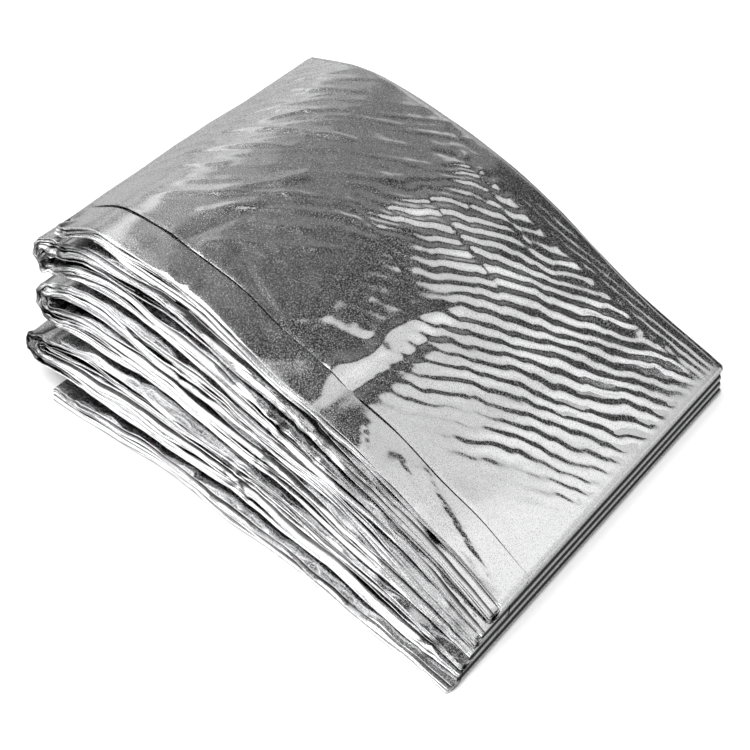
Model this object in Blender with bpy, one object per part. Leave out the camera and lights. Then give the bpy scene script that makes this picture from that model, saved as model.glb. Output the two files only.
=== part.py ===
"""Emergency foil blanket, folded into a packet and lying on a surface.

One sheet of metallised film is pleated into a strip, and the strip is folded back and forth into
eight passes.  The solid is that strip: one closed slab that runs along the top pass, round each
turn and back, down to the bottom pass.  +X is the closed end, where four turns are pressed thin,
and -X is the end that springs open.  -Y is the front, where the pleat edges step out downwards.
"""

import math

import bmesh
import bpy

MM = 0.001

# The sheet's long strip and how it is folded.
STRIP_LENGTH = 1.30
PASSES = 8
PASS_LENGTH = STRIP_LENGTH / PASSES

# The packet, before its footprint is centred on the origin.
SPINE_X = PASS_LENGTH / 2
FAN_X = -PASS_LENGTH / 2
FRONT_Y = -45 * MM
BACK_Y = 67 * MM

# A pass from the top of the packet down, in mm.
# front_fan, front_spine: Y of its front edge at each end.  back: Y of its back edge.
# thickness, gap_below: at the fan end, if it stood fully open.
PASS_COLUMNS = ("front_fan", "front_spine", "back", "thickness", "gap_below")
PASS_ROWS = (
    (-45.0, -44.0, 67.0, 4.0, 1.8),
    (-48.5, -48.5, 66.0, 4.35, 1.3),
    (-50.5, -52.5, 67.0, 4.55, 4.2),
    (-53.5, -55.5, 65.5, 6.2, 1.4),
    (-56.0, -58.0, 66.5, 6.0, 4.0),
    (-60.0, -60.5, 65.0, 5.5, 1.3),
    (-62.0, -63.0, 66.0, 5.2, 5.8),
    (-67.0, -68.0, 67.0, 3.6, 0.0),
)
PASS_TABLE = [dict(zip(PASS_COLUMNS, row)) for row in PASS_ROWS]

# Away from the fan end the passes swell until they nearly touch.  The gaps keep this share, and
# they have closed to it at this place along the packet.
GAP_KEPT = 0.35
GAP_CLOSED_ALONG = 0.20

# Every pass where it is pressed at the spine.
SPINE_THICKNESS = 1.05 * MM
SPINE_GAP = 0.37 * MM
# Each turn there stands out a little past the one above it.
SPINE_STEP = 0.4 * MM

# Where the strip ends at the fan, from the top down: a free end, three turns and a free end.
FAN_ENDS = (-82.0 * MM, -86.2 * MM, -79.8 * MM, -81.5 * MM, -72.0 * MM)
# Those ends wander in half waves along the packet's width, each end at its own phase.
FAN_WANDER = 1.5 * MM
FAN_WANDER_WAVES = 1.4
FAN_WANDER_PHASE = 0.6
# Turns at the fan are a little pointed.
TURN_POINT = 1.15

# How far the packet stands open, from 0 at the spine to 1 at its highest.
# along: 0 at the fan end, 1 at the spine.
OPEN_COLUMNS = ("along", "front", "back")
OPEN_ROWS = (
    (-0.06, 0.76, 0.77),
    (0.00, 0.82, 0.81),
    (0.10, 0.98, 0.90),
    (0.20, 1.00, 0.92),
    (0.32, 0.95, 0.86),
    (0.50, 0.77, 0.70),
    (0.70, 0.53, 0.41),
    (0.86, 0.29, 0.17),
    (1.00, 0.00, 0.00),
)
OPEN_TABLE = [dict(zip(OPEN_COLUMNS, row)) for row in OPEN_ROWS]

# The packet swells a little between its edges.  A lower power makes a flatter top.
CROWN = 0.05
CROWN_POWER_ALONG = 0.5
CROWN_POWER_ACROSS = 0.7
# The front edges draw in along the middle, most at the bottom, and are uneven.
WAIST = 4 * MM
EDGE_UNEVEN = 0.6 * MM
FRONT_EDGE_STRETCH = 2.3
BACK_EDGE_STRETCH = 1.7
# Each pass is now thicker, now thinner, by this share, and so is the gap under it.
THICKNESS_UNEVEN = 0.16
GAP_UNEVEN = 0.35
# Two sine waves make everything uneven.  Columns: radians along, across and for each pass.
WAVE_COLUMNS = ("along", "across", "seed")
WAVE_ROWS = (
    (9.0, 2.3, 1.9),
    (4.1, -5.2, 2.7),
)
WAVE_TABLE = [dict(zip(WAVE_COLUMNS, row)) for row in WAVE_ROWS]
# A gap takes its wave from halfway between its two passes.
GAP_SEED = 0.5
# A pleat edge is rounded by this share of the strip's thickness.
NOSE = 0.35

# Main creases of the top pass.  Ends are (along, across), with across 0 at its front edge.
CREASE_COLUMNS = ("start", "end", "height", "half_width")
CREASE_ROWS = (
    ((0.60, 0.04), (0.63, 0.90), 0.9 * MM, 9 * MM),
    ((0.23, 0.10), (0.28, 0.40), 1.0 * MM, 9 * MM),
    ((0.17, 0.27), (0.39, 0.70), 1.0 * MM, 9 * MM),
    ((0.30, 0.19), (0.46, 0.14), 0.8 * MM, 9 * MM),
)
CREASE_TABLE = [dict(zip(CREASE_COLUMNS, row)) for row in CREASE_ROWS]

# Mesh steps along a pass, round a turn and across the strip.
PASS_STEPS = 22
TURN_STEPS = 6
ACROSS_STEPS = 11
SHARP_ANGLE = math.radians(50)

FOIL_COLOUR = (0.80, 0.81, 0.83, 1.0)
FOIL_ROUGHNESS = 0.18


def clear_scene():
    for scene_object in list(bpy.data.objects):
        bpy.data.objects.remove(scene_object, do_unlink=True)


def mix(start, end, share):
    return start + (end - start) * share


def clamp(value, low, high):
    return max(low, min(high, value))


def ease(value):
    """0 below 0, 1 above 1, and a soft step between."""
    value = clamp(value, 0.0, 1.0)
    return value * value * (3 - 2 * value)


def smooth_table(table, column, along):
    """A smooth curve through one column of a table, as Hermite spans with shared slopes."""
    keys = [row["along"] for row in table]
    values = [row[column] for row in table]
    along = clamp(along, keys[0], keys[-1])
    last = len(keys) - 1
    span = max(index for index in range(last) if keys[index] <= along)

    def slope(index):
        low = max(index - 1, 0)
        high = min(index + 1, last)
        return (values[high] - values[low]) / (keys[high] - keys[low])

    width = keys[span + 1] - keys[span]
    t = (along - keys[span]) / width
    start_pull = t * (1 - t) ** 2 * width * slope(span)
    end_pull = t * t * (t - 1) * width * slope(span + 1)
    return mix(values[span], values[span + 1], ease(t)) + start_pull + end_pull


def along_at(x):
    return (x - FAN_X) / (SPINE_X - FAN_X)


def across_at(y):
    return clamp((y - FRONT_Y) / (BACK_Y - FRONT_Y), 0.0, 1.0)


def openness(x, y):
    """How far the packet stands open at a place on its footprint."""
    along = along_at(x)
    across = across_at(y)
    front = smooth_table(OPEN_TABLE, "front", along)
    back = smooth_table(OPEN_TABLE, "back", along)
    crown_along = math.sin(math.pi * clamp(along, 0.0, 1.0)) ** CROWN_POWER_ALONG
    crown_across = math.sin(math.pi * across) ** CROWN_POWER_ACROSS
    return mix(front, back, across) * (1 + CROWN * crown_along * crown_across)


def wave(seed, along, across):
    """A slow uneven wave from -1 to 1, different for each seed."""
    total = 0.0
    for term in WAVE_TABLE:
        total += math.sin(term["along"] * along + term["across"] * across + term["seed"] * seed)
    return total / len(WAVE_TABLE)


def crease_lift(x, y):
    """How far the main creases lift the top pass at a place."""
    lift = 0.0
    for crease in CREASE_TABLE:
        start_x = mix(FAN_X, SPINE_X, crease["start"][0])
        start_y = mix(FRONT_Y, BACK_Y, crease["start"][1])
        run_x = mix(FAN_X, SPINE_X, crease["end"][0]) - start_x
        run_y = mix(FRONT_Y, BACK_Y, crease["end"][1]) - start_y
        share = ((x - start_x) * run_x + (y - start_y) * run_y) / (run_x ** 2 + run_y ** 2)
        share = clamp(share, 0.0, 1.0)
        distance = math.hypot(x - start_x - run_x * share, y - start_y - run_y * share)
        lift = max(lift, crease["height"] * ease(1 - distance / crease["half_width"]))
    return lift


def stack_levels(x, y):
    """Lower and upper height of every pass at a place, from the bottom pass up."""
    opened = openness(x, y)
    along = along_at(x)
    across = across_at(y)
    gap_kept = mix(1.0, GAP_KEPT, ease(along / GAP_CLOSED_ALONG))
    height = 0.0
    even_height = 0.0
    levels = []
    for number, row in reversed(list(enumerate(PASS_TABLE))):
        if levels:
            gap = mix(SPINE_GAP, row["gap_below"] * MM * gap_kept, opened)
            height += gap * (1 + GAP_UNEVEN * opened * wave(number + GAP_SEED, along, across))
            even_height += gap
        lower = height
        swollen = row["thickness"] + row["gap_below"] * (1 - gap_kept)
        thickness = mix(SPINE_THICKNESS, swollen * MM, opened)
        height += thickness * (1 + THICKNESS_UNEVEN * opened * wave(number, along, across))
        even_height += thickness
        levels.append((lower, height))
    level_out = even_height / height
    return [(lower * level_out, upper * level_out) for lower, upper in levels]


def pass_levels(number, x, y):
    """Lower and upper height of one pass, with the creases of the top one."""
    lower, upper = stack_levels(x, y)[PASSES - 1 - number]
    lift = crease_lift(x, y) if number == 0 else 0.0
    return lower + lift, upper + lift


def strip_y(number, x, across):
    """Y of a place across a pass, between its own front and back edges."""
    row = PASS_TABLE[number]
    along = clamp(along_at(x), 0.0, 1.0)
    waist = WAIST * math.sin(math.pi * along) * number / (PASSES - 1)
    uneven = EDGE_UNEVEN * wave(number, FRONT_EDGE_STRETCH * along, 0.0)
    front = mix(row["front_fan"], row["front_spine"], along) * MM + waist + uneven
    back = row["back"] * MM - EDGE_UNEVEN * wave(number, BACK_EDGE_STRETCH * along, 1.0)
    return mix(front, back, across)


def fan_x(number, across):
    """X where a pass ends at the fan.  Passes that share a turn share it."""
    end = (number + 1) // 2
    half_waves = FAN_WANDER_WAVES * across + FAN_WANDER_PHASE * end
    return FAN_ENDS[end] + FAN_WANDER * across * math.sin(math.pi * half_waves)


def spine_x(number):
    """X where a pass meets its turn at the spine, which bulges out past it."""
    return SPINE_X + SPINE_STEP * (number // 2) - SPINE_THICKNESS - SPINE_GAP / 2


def pass_stations(number):
    """Rows of (left, right) points across the strip, in the order in which the strip runs."""
    to_spine = number % 2 == 0
    stations = []
    for step in range(PASS_STEPS + 1):
        share = step / PASS_STEPS if to_spine else 1 - step / PASS_STEPS
        station = []
        for column in range(ACROSS_STEPS + 1):
            across = column / ACROSS_STEPS
            x = mix(fan_x(number, across), spine_x(number), share)
            y = strip_y(number, x, across)
            lower, upper = pass_levels(number, x, y)
            pair = ((x, y, upper), (x, y, lower))
            station.append(pair if to_spine else pair[::-1])
        stations.append(station)
    return stations


def turn_stations(number):
    """The half turn after a pass, down to the next one."""
    at_spine = number % 2 == 0
    side = 1 if at_spine else -1
    point = 1.0 if at_spine else TURN_POINT
    stations = []
    for step in range(1, TURN_STEPS):
        angle = math.pi * step / TURN_STEPS
        station = []
        for column in range(ACROSS_STEPS + 1):
            across = column / ACROSS_STEPS
            x = spine_x(number) if at_spine else fan_x(number, across)
            y = mix(strip_y(number, x, across), strip_y(number + 1, x, across), step / TURN_STEPS)
            inner_top, outer_top = pass_levels(number, x, strip_y(number, x, across))
            outer_low, inner_low = pass_levels(number + 1, x, strip_y(number + 1, x, across))
            pair = []
            for top, low in ((outer_top, outer_low), (inner_top, inner_low)):
                middle = (top + low) / 2
                radius = (top - low) / 2
                pair.append((x + side * point * radius * math.sin(angle), y,
                             middle + radius * math.cos(angle)))
            station.append(tuple(pair) if at_spine else tuple(pair[::-1]))
        stations.append(station)
    return stations


def nose(pair, side):
    """The rounded tip of a pleat edge, between its two faces."""
    left, right = pair
    thickness = math.dist(left, right)
    middle = [(a + b) / 2 for a, b in zip(left, right)]
    return middle[0], middle[1] + side * NOSE * thickness, middle[2]


def strip_rings():
    """Closed rings of points round the strip, from its top free end to its bottom free end."""
    stations = []
    for number in range(PASSES):
        stations += pass_stations(number)
        if number < PASSES - 1:
            stations += turn_stations(number)
    rings = []
    for station in stations:
        left_side = [pair[0] for pair in station]
        right_side = [pair[1] for pair in reversed(station)]
        rings.append([nose(station[0], -1)] + left_side + [nose(station[-1], 1)] + right_side)
    return rings


def centre_footprint(mesh):
    """Put the middle of the footprint over the origin.  The packet already lies at height 0."""
    for axis in (0, 1):
        values = [vertex.co[axis] for vertex in mesh.verts]
        middle = (min(values) + max(values)) / 2
        for vertex in mesh.verts:
            vertex.co[axis] -= middle


def foil_material():
    material = bpy.data.materials.new("foil")
    material.use_nodes = True
    shader = material.node_tree.nodes["Principled BSDF"]
    shader.inputs["Base Color"].default_value = FOIL_COLOUR
    shader.inputs["Metallic"].default_value = 1.0
    shader.inputs["Roughness"].default_value = FOIL_ROUGHNESS
    material.diffuse_color = FOIL_COLOUR
    return material


def build_blanket():
    mesh = bmesh.new()
    rings = [[mesh.verts.new(point) for point in ring] for ring in strip_rings()]
    size = len(rings[0])
    for ring, following in zip(rings, rings[1:]):
        for index in range(size):
            beside = (index + 1) % size
            mesh.faces.new((ring[index], ring[beside], following[beside], following[index]))
    for ring in (rings[0], rings[-1]):
        mesh.faces.new((ring[0], ring[1], ring[-1]))
        for index in range(1, size // 2):
            face = [ring[index], ring[index + 1], ring[-index - 1], ring[-index]]
            mesh.faces.new(list(dict.fromkeys(face)))
    centre_footprint(mesh)
    bmesh.ops.recalc_face_normals(mesh, faces=mesh.faces)

    data = bpy.data.meshes.new("blanket")
    mesh.to_mesh(data)
    mesh.free()
    data.materials.append(foil_material())
    data.shade_smooth()
    data.set_sharp_from_angle(angle=SHARP_ANGLE)
    blanket = bpy.data.objects.new("blanket", data)
    bpy.context.collection.objects.link(blanket)
    return blanket


clear_scene()
build_blanket()
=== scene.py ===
# %% [markdown]
# # An emergency foil blanket, folded into a packet
# An emergency blanket is one sheet of thin plastic film with a layer of aluminium on it. The factory pleats
# the 2.10 m side into a narrow strip, and then folds the 1.30 m strip back and forth into a packet. This
# lesson builds that sheet as one mesh that really follows all of its folds, and gives it a mirror finish.
#
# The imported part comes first. It holds a plain solid of the packet, which fixes the size and the place.

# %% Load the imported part
import math

import bpy
import numpy as np
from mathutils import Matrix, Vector, noise


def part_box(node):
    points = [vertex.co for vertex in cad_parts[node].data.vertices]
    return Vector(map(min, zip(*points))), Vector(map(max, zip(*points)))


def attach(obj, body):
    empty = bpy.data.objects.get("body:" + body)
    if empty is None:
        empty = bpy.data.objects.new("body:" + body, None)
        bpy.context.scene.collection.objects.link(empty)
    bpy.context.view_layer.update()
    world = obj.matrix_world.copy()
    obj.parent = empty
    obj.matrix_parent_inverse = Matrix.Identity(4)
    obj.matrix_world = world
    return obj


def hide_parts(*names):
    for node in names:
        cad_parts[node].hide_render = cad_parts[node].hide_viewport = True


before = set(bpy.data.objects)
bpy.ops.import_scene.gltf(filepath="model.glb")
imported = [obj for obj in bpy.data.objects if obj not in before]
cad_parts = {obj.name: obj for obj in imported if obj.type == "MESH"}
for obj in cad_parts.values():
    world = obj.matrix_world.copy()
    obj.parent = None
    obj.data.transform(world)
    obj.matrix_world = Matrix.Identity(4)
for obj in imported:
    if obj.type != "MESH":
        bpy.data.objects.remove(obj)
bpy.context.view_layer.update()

MM = 0.001
# Blender seeds its noise from the clock. A fixed seed gives the same crumples every time.
NOISE_SEED = 5
noise.seed_set(NOISE_SEED)
solid_low, solid_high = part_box("blanket")
print("solid packet, mm:", [round(side / MM, 1) for side in solid_high - solid_low])

# %% [markdown]
# ## The camera
# A camera can be aimed by hand, but a place worked out from two angles and a distance is easier to read and
# to change. The azimuth turns it round the packet, and the elevation lifts it. The distance sets how
# strongly the far side shrinks, and the lens then fills the frame. A camera looks along its own -Z axis, so
# that axis is turned along the line of sight.

# %% Place the camera
VIEW_AZIMUTH = math.radians(40.1)
VIEW_ELEVATION = math.radians(47.6)
VIEW_DISTANCE = 0.41
VIEW_LENS = 64.6
VIEW_NEAREST = 0.01
VIEW_TARGET = Vector((0.00464, -0.00023, 0.00623))

camera_back = Vector((
    math.sin(VIEW_AZIMUTH) * math.cos(VIEW_ELEVATION),
    -math.cos(VIEW_AZIMUTH) * math.cos(VIEW_ELEVATION),
    math.sin(VIEW_ELEVATION),
))
camera_data = bpy.data.cameras.new("camera")
camera_data.lens = VIEW_LENS
camera_data.clip_start = VIEW_NEAREST
camera = bpy.data.objects.new("camera", camera_data)
camera.location = VIEW_TARGET + camera_back * VIEW_DISTANCE
camera.rotation_mode = "QUATERNION"
camera.rotation_quaternion = (-camera_back).to_track_quat("-Z", "Y")
bpy.context.collection.objects.link(camera)
bpy.context.scene.camera = camera
bpy.context.scene.view_settings.view_transform = "Standard"
print("camera at", [round(value, 3) for value in camera.location])

# %% [markdown]
# ## How far the packet springs open
# The turns at the +X end are pressed flat, and at the other end the film springs open like a fan. One
# number, the openness, says how far it stands open at each place: 0 at the pressed spine and 1 where the
# packet is highest. Two short tables hold it along the front and the back edge, and a smooth curve is drawn
# through each. A simulation could press and release a stack, but a table gives the same shape each run.

# %% Curves through short tables
def mix(start, end, share):
    """From start to end, by a share from 0 to 1."""
    return start + (end - start) * share


def ease(value):
    """0 below 0, 1 above 1, and a soft step between."""
    value = np.clip(value, 0.0, 1.0)
    return value * value * (3 - 2 * value)


def smooth_curve(keys, values, at):
    """A smooth line through a short table, read at many places at once."""
    keys = np.array(keys)
    values = np.array(values)
    places = np.arange(len(keys))
    before = np.maximum(places - 1, 0)
    after = np.minimum(places + 1, len(keys) - 1)
    slopes = (values[after] - values[before]) / (keys[after] - keys[before])
    at = np.clip(at, keys[0], keys[-1])
    span = np.clip(np.searchsorted(keys, at, side="right") - 1, 0, len(keys) - 2)
    width = keys[span + 1] - keys[span]
    t = (at - keys[span]) / width
    bend = width * (t * (1 - t) ** 2 * slopes[span] + t * t * (t - 1) * slopes[span + 1])
    return mix(values[span], values[span + 1], t * t * (3 - 2 * t)) + bend


# %% The packet's size and openness
PASSES = 8
STRIP_LENGTH = 1.30
PASS_LENGTH = STRIP_LENGTH / PASSES
SPINE_X = PASS_LENGTH / 2
FAN_X = -PASS_LENGTH / 2
FRONT_Y = -45 * MM
BACK_Y = 67 * MM

OPEN_ALONG = (-0.06, 0.00, 0.10, 0.20, 0.32, 0.50, 0.70, 0.86, 1.00)
OPEN_FRONT = (0.76, 0.82, 0.98, 1.00, 0.95, 0.77, 0.53, 0.29, 0.00)
OPEN_BACK = (0.77, 0.81, 0.90, 0.92, 0.86, 0.70, 0.41, 0.17, 0.00)
# The middle of the packet stands a little higher than a straight line from front to back.
CROWN = 0.05
CROWN_POWER_ALONG = 0.5
CROWN_POWER_ACROSS = 0.7


def along_at(x):
    """0 at the fan end and 1 at the spine."""
    return (x - FAN_X) / (SPINE_X - FAN_X)


def across_at(y):
    """0 at the front of the top pass and 1 at its back."""
    return np.clip((y - FRONT_Y) / (BACK_Y - FRONT_Y), 0.0, 1.0)


def openness(x, y):
    """How far the packet stands open, from 0 at the spine to about 1."""
    along = along_at(x)
    across = across_at(y)
    front = smooth_curve(OPEN_ALONG, OPEN_FRONT, along)
    back = smooth_curve(OPEN_ALONG, OPEN_BACK, along)
    crown_along = np.sin(np.pi * np.clip(along, 0, 1)) ** CROWN_POWER_ALONG
    crown = crown_along * np.sin(np.pi * across) ** CROWN_POWER_ACROSS
    return mix(front, back, across) * (1 + CROWN * crown)


middle_opened = openness(np.array([0.0]), np.array([0.0]))[0]
print("openness at the middle:", round(float(middle_opened), 2))

# %% [markdown]
# ## The eight passes
# Each time the strip runs from one end of the packet to the other is a pass. A stack is easiest to build
# from thicknesses and gaps that are added up from the surface it lies on, because then no pass can cross
# another. A slow wave makes each pass thicker here and thinner there, and the whole stack is then scaled
# back to its proper height. At the fan end the passes stand apart, and further in they swell until they
# nearly touch.

# %% Stack the passes
PASS_FRONT_FAN = np.array((-45.0, -48.5, -50.5, -53.5, -56.0, -60.0, -62.0, -67.0)) * MM
PASS_FRONT_SPINE = np.array((-44.0, -48.5, -52.5, -55.5, -58.0, -60.5, -63.0, -68.0)) * MM
PASS_BACK = np.array((67.0, 66.0, 67.0, 65.5, 66.5, 65.0, 66.0, 67.0)) * MM
PASS_THICKNESS = np.array((4.0, 4.35, 4.55, 6.2, 6.0, 5.5, 5.2, 3.6)) * MM
PASS_GAP_BELOW = np.array((1.8, 1.3, 4.2, 1.4, 4.0, 1.3, 5.8, 0.0)) * MM
GAP_KEPT = 0.35
GAP_CLOSED_ALONG = 0.20
SPINE_THICKNESS = 1.05 * MM
SPINE_GAP = 0.37 * MM
SPINE_STEP = 0.4 * MM
FAN_ENDS = (-82.0 * MM, -86.2 * MM, -79.8 * MM, -81.5 * MM, -72.0 * MM)
FAN_WANDER = 1.5 * MM
FAN_WANDER_WAVES = 1.4
FAN_WANDER_PHASE = 0.6
WAIST = 4 * MM
EDGE_UNEVEN = 0.6 * MM
FRONT_EDGE_STRETCH = 2.3
BACK_EDGE_STRETCH = 1.7
THICKNESS_UNEVEN = 0.16
GAP_UNEVEN = 0.35
GAP_SEED = 0.5
# The two sines of a slow wave: how fast each runs along and across the packet, and what a seed adds.
WAVE_ROWS = ((9.0, 2.3, 1.9), (4.1, -5.2, 2.7))


def wave(seed, along, across):
    """A slow uneven wave from -1 to 1, different for each seed."""
    return sum(np.sin(a * along + b * across + c * seed) for a, b, c in WAVE_ROWS) / len(WAVE_ROWS)


def pass_levels(x, y):
    """Lower and upper height of every pass at each place, as two arrays of pass by place."""
    opened = openness(x, y)
    along = along_at(x)
    across = across_at(y)
    gap_kept = mix(1, GAP_KEPT, ease(along / GAP_CLOSED_ALONG))
    height = np.zeros_like(opened)
    even_height = np.zeros_like(opened)
    lower = np.zeros((PASSES,) + opened.shape)
    upper = np.zeros((PASSES,) + opened.shape)
    for number in reversed(range(PASSES)):
        if number < PASSES - 1:
            gap = mix(SPINE_GAP, PASS_GAP_BELOW[number] * gap_kept, opened)
            height = height + gap * (1 + GAP_UNEVEN * opened * wave(number + GAP_SEED, along, across))
            even_height = even_height + gap
        lower[number] = height
        swollen = PASS_THICKNESS[number] + PASS_GAP_BELOW[number] * (1 - gap_kept)
        thickness = mix(SPINE_THICKNESS, swollen, opened)
        height = height + thickness * (1 + THICKNESS_UNEVEN * opened * wave(number, along, across))
        even_height = even_height + thickness
        upper[number] = height
    level_out = even_height / height
    return lower * level_out, upper * level_out


def front_edge(number, x):
    """Y of the front edge of a pass."""
    along = np.clip(along_at(x), 0, 1)
    waist = WAIST * np.sin(np.pi * along) * number / (PASSES - 1)
    uneven = EDGE_UNEVEN * wave(number, FRONT_EDGE_STRETCH * along, 0.0)
    return mix(PASS_FRONT_FAN[number], PASS_FRONT_SPINE[number], along) + waist + uneven


def back_edge(number, x):
    """Y of the back edge of a pass."""
    along = np.clip(along_at(x), 0, 1)
    return PASS_BACK[number] - EDGE_UNEVEN * wave(number, BACK_EDGE_STRETCH * along, 1.0)


def fan_x(number, across):
    """X where a pass ends at the fan. Two passes that share a turn end at the same place."""
    end = (number + 1) // 2
    waves = np.sin(np.pi * (FAN_WANDER_WAVES * across + FAN_WANDER_PHASE * end))
    return FAN_ENDS[end] + FAN_WANDER * across * waves


def spine_x(number):
    """X where a pass ends at the spine."""
    return SPINE_X + SPINE_STEP * (number // 2) - SPINE_THICKNESS - SPINE_GAP / 2


look_x, look_y = np.meshgrid(np.linspace(FAN_X, SPINE_X, 30), np.linspace(FRONT_Y, BACK_Y, 20))
print("packet stands", round(pass_levels(look_x, look_y)[1].max() / MM, 1), "mm high")

# %% [markdown]
# ## Uneven pleat edges
# The strip itself is 17 layers of film: the 2.10 m side goes back and forth 17 times. Layers j and j + 1
# meet in a pleat at the front if j is even, and at the back if it is odd. No machine folds film exactly, so
# each pleat edge stands a little further out or in than its neighbours and wanders along the packet. A
# seeded generator gives each edge its own offset and phases, so the same uneven edges come out every time.

# %% Let the edges wander
LAYERS = 17
CUT_INSET = 11.8 * MM
CUT_WANDER = 0.25 * MM
CUT_WANDER_WAVES = 37
EDGE_SEED = 17
edge_random = np.random.default_rng(EDGE_SEED)
EDGE_OFFSET = edge_random.uniform(-1, 1, (PASSES, LAYERS + 1))
EDGE_PHASE = edge_random.uniform(0, 2 * math.pi, (PASSES, LAYERS + 1, 3))
EDGE_WAVES = ((1.3, 0.35 * MM), (3.7, 0.18 * MM), (8.5, 0.06 * MM))
EDGE_SPREAD = 0.50 * MM
STEP_OUT = 0.15
# Pleats that lie further in than the others of their pass: (pass, edge of the pleat) and how far.
SET_BACK = {
    (1, 0): 1.7 * MM,
    (2, 14): 1.0 * MM,
    (3, 0): 1.3 * MM,
    (4, 14): 1.2 * MM,
    (6, 14): 1.6 * MM,
    (7, 0): 1.0 * MM,
}


def layer_at(number, rank):
    """Which layer of the film lies at a rank, counted from the top of a pass. Each turn flips the order."""
    return LAYERS - 1 - rank if number % 2 == 0 else rank


def edge_wander(number, edge, along):
    """How far a pleat edge stands out, in metres."""
    wander = EDGE_SPREAD * EDGE_OFFSET[number, edge]
    for index, (count, size) in enumerate(EDGE_WAVES):
        wander = wander + size * np.sin(2 * np.pi * count * along + EDGE_PHASE[number, edge, index])
    return wander


def front_y(number, layer, x):
    """Y of the front edge of a layer: its pleat with a neighbour, or the bare cut edge of the last one."""
    if layer == LAYERS - 1:
        return front_edge(number, x) + CUT_INSET + CUT_WANDER * np.sin(CUT_WANDER_WAVES * along_at(x))
    following = min(number + 1, PASSES - 1)
    step = front_edge(following, x) - front_edge(following - 1, x)
    edge = layer // 2 * 2
    rank = LAYERS - 1 - edge if number % 2 == 0 else edge
    stepped = front_edge(number, x) + step * STEP_OUT * (rank / (LAYERS - 1) - 0.5)
    return stepped + SET_BACK.get((number, edge), 0.0) - edge_wander(number, edge, along_at(x))


def back_y(number, layer, x):
    """Y of the back edge of a layer."""
    edge = max((layer + 1) // 2 * 2 - 1, 0)
    return back_edge(number, x) + edge_wander(number, edge, along_at(x))


farthest = max(np.abs(edge_wander(number, edge, np.linspace(0, 1, 50))).max()
               for number in range(PASSES) for edge in range(LAYERS + 1))
print("pleat edges wander by up to", round(farthest / MM, 2), "mm")

# %% [markdown]
# ## The pleats inside a pass
# Film that has been pleated springs back into a rounded fold, and the folds of neighbouring pleats press
# against each other. So along an edge the two layers of a pleat stand well apart, right up to the rounded
# tip, while the gap to the next pleat is almost closed, most of all at the fan end. That is what makes the
# bright rolls with thin dark lines between them. Each gap between two layers gets a weight, the weights are
# added up, and their sum is spread over the pass's thickness, so again no layer can cross its neighbour.

# %% Spread the layers
TIP_REACH = 0.8 * MM
TIGHT_FAN = 0.32
TIGHT_SPINE = 0.95
TIGHT_REACH = 10 * MM
SWELL_SPREAD = 1.25
SWELL_OF_PASS = (0.30, 1.0, 0.9, 0.7, 0.8, 0.6, 0.8, 0.6)
SWELL_WAVE = 0.8
SWELL_STRETCH = 1.6
SLIT_SPREAD = 1.5
SLIT_SEED_PASS = 3.7
SLIT_SEED_PAIR = 1.3
SLIT_STRETCH = 2.9
PLEAT_SEED = 5
pleat_random = np.random.default_rng(PLEAT_SEED)
PLEAT_SWELL = pleat_random.uniform(-1, 1, (PASSES, LAYERS))
print("a swell of its own for each of", PLEAT_SWELL.size, "layers in all the passes")


def rounded(distance):
    """The half height of a rounded fold, from 0 at its tip to 1 where it is full."""
    return np.sqrt(1 - (1 - np.clip(distance / TIP_REACH, 0, 1)) ** 2)


def layer_depths(number, x, y):
    """How far down through the pass each layer lies, from 0 to 1, as an array of layer by place."""
    along = along_at(x)
    across = across_at(y)
    front_share = 1 - ease((y - front_edge(number, x)) / TIGHT_REACH)
    tight = mix(TIGHT_FAN, TIGHT_SPINE, np.clip(along, 0, 1))
    tight_front = mix(1, tight, front_share)
    tight_back = mix(tight, 1, ease((back_edge(number, x) - y) / TIGHT_REACH))
    depth = np.zeros_like(along)
    depths = np.zeros((LAYERS,) + along.shape)
    for rank in range(LAYERS):
        if rank:
            pair = min(layer_at(number, rank), layer_at(number, rank - 1))
            swell_wave = wave(number * LAYERS + pair, SWELL_STRETCH * along, across)
            uneven = PLEAT_SWELL[number, pair] + SWELL_WAVE * swell_wave
            weight = np.exp(SWELL_SPREAD * SWELL_OF_PASS[number] * uneven)
            if pair % 2 == 0:
                weight = weight * rounded(y - front_y(number, pair, x)) * tight_back
            else:
                slit_seed = SLIT_SEED_PASS * number + SLIT_SEED_PAIR * pair
                slit = np.exp(SLIT_SPREAD * wave(slit_seed, SLIT_STRETCH * along, across))
                weight = weight * rounded(back_y(number, pair, x) - y)
                weight = weight * mix(1, slit, front_share) * tight_front
            depth = depth + weight
        depths[layer_at(number, rank)] = depth
    return depths / depth


# %% [markdown]
# ## The columns of the mesh
# The mesh is a grid. Its columns follow the strip, and its rows cross it. Each layer has a column in its
# middle, three close to its front and two close to its back, to round off the folds, and one column more
# lies on each pleat, where two layers share it. Layer 16 ends in a bare cut edge, and it lies on top of the
# packet, a finger's width in from the front. Layer 15 shows in front of that edge, so it gets more columns
# there. Layer 0 is the outside of the rolls at the fan end, and gets more columns from front to back.

# %% List the columns
TIP_INSETS = (0.12 * MM, 0.45 * MM, 1.25 * MM)
BACK_TIP_INSETS = (0.25 * MM, 1.10 * MM)
MIDDLE_SHARES = (0.5,)
SHOWN_STRIP_INSETS = tuple(inset * MM for inset in (2.4, 3.8, 5.2, 6.6, 8.0, 9.4, 10.8, 12.2, 15.0))
SHOWN_MIDDLE_SHARES = (0.3, 0.5, 0.7, 0.9)
ROLL_MIDDLE_SHARES = (0.12, 0.24, 0.36, 0.50, 0.64, 0.76, 0.88)


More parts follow.
